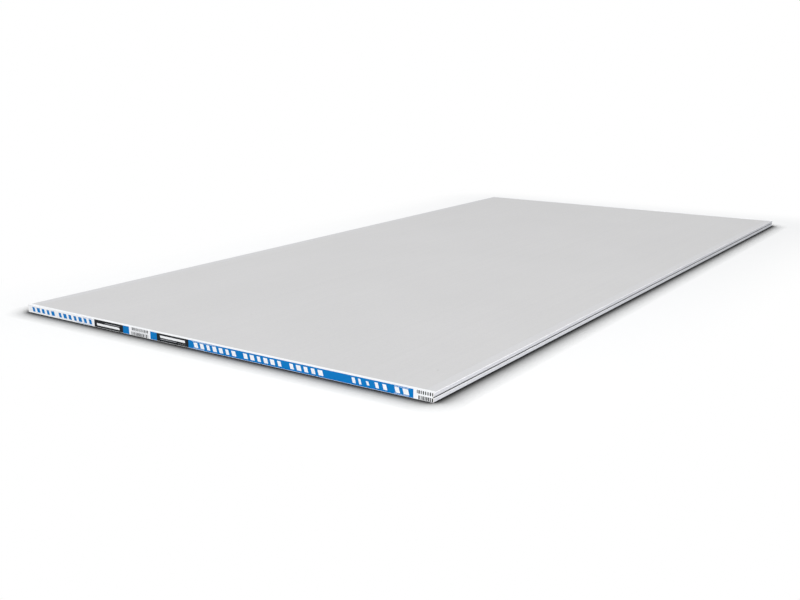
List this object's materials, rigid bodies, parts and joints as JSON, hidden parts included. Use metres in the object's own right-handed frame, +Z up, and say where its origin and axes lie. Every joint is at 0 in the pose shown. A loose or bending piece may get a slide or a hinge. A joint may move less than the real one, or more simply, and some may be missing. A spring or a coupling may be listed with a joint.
{
  "type": "drywall sheet",
  "caption": "Long thin gypsum boards with tapered edges, laid face to face and bound by a printed paper tape folded round each end; lies flat as stock.",
  "frame": {"origin": "on the surface that the pair lies on, under the middle of its length and width", "axes": "+X across the width, +Y along the length from the front end tape to the back one, +Z up"},
  "size_m": [1.2192, 2.4388, 0.0194],
  "materials": {
    "board_paper": "matt uncoated grey board paper",
    "tape_paper": "smooth white tape paper",
    "blue_ink": "printed flat blue",
    "dark_ink": "printed flat near-black"
  },
  "bodies": {
    "root": {"board_upper": "board_paper", "board_lower": "board_paper", "end_tape_front": "tape_paper", "end_tape_back": "tape_paper"}
  },
  "joints": []
}
